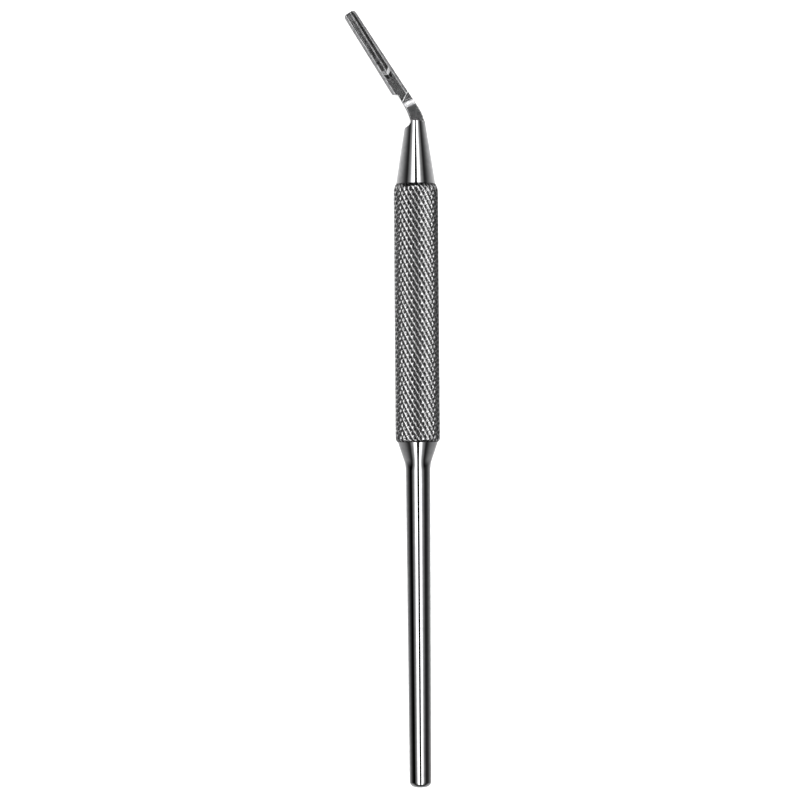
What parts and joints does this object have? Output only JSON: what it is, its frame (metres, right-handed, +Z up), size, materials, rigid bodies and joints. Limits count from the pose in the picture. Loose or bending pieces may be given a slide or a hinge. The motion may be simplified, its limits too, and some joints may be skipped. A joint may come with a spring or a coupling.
{
  "type": "scalpel handle",
  "caption": "Slim angled steel scalpel handle with a diamond-knurled round grip, a tapered nose and a bent neck that ends in a tongue with a grooved boss for a detachable blade.",
  "frame": {"origin": "on the surface that the handle lies on, under the middle of its box", "axes": "+Y along the handle towards the blade fitting, +Z up, +X away from the side that the fitting bends to"},
  "size_m": [0.0184, 0.16, 0.0092],
  "materials": {
    "polished_steel": "polished stainless steel, with fine turning lines on the round faces and a satin milled blade fitting"
  },
  "bodies": {
    "root": {"handle": "polished_steel"}
  },
  "joints": []
}
